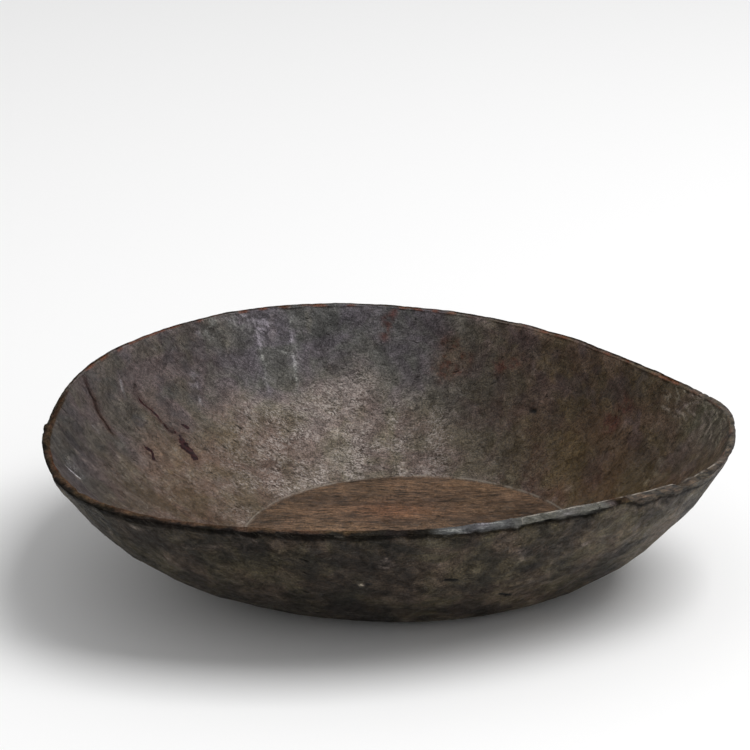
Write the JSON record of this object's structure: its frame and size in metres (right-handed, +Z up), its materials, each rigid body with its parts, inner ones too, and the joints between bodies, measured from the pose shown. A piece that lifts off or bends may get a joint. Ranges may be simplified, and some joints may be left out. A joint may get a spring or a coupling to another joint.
{
  "type": "carved wooden bowl",
  "caption": "Wide, shallow hand-carved wooden bowl with a lopsided oval rim, one blunt point, a flat foot and gum-filled drying splits.",
  "frame": {"origin": "centre of the flat foot that the bowl rests on", "axes": "+X along the length towards the bluntly pointed end, +Y towards the higher side of the rim, +Z up"},
  "size_m": [0.4194, 0.3761, 0.107],
  "materials": {
    "wood": "dark waxed patina over brown wood, adzed facets, half gloss",
    "gum": "dark red-brown plant gum, half gloss"
  },
  "bodies": {
    "root": {"bowl_body": "wood", "split_fill_upper": "gum", "split_fill_lower": "gum", "pit_fill_large": "gum", "pit_fill_spot": "gum", "pit_fill_hook": "gum"}
  },
  "joints": []
}
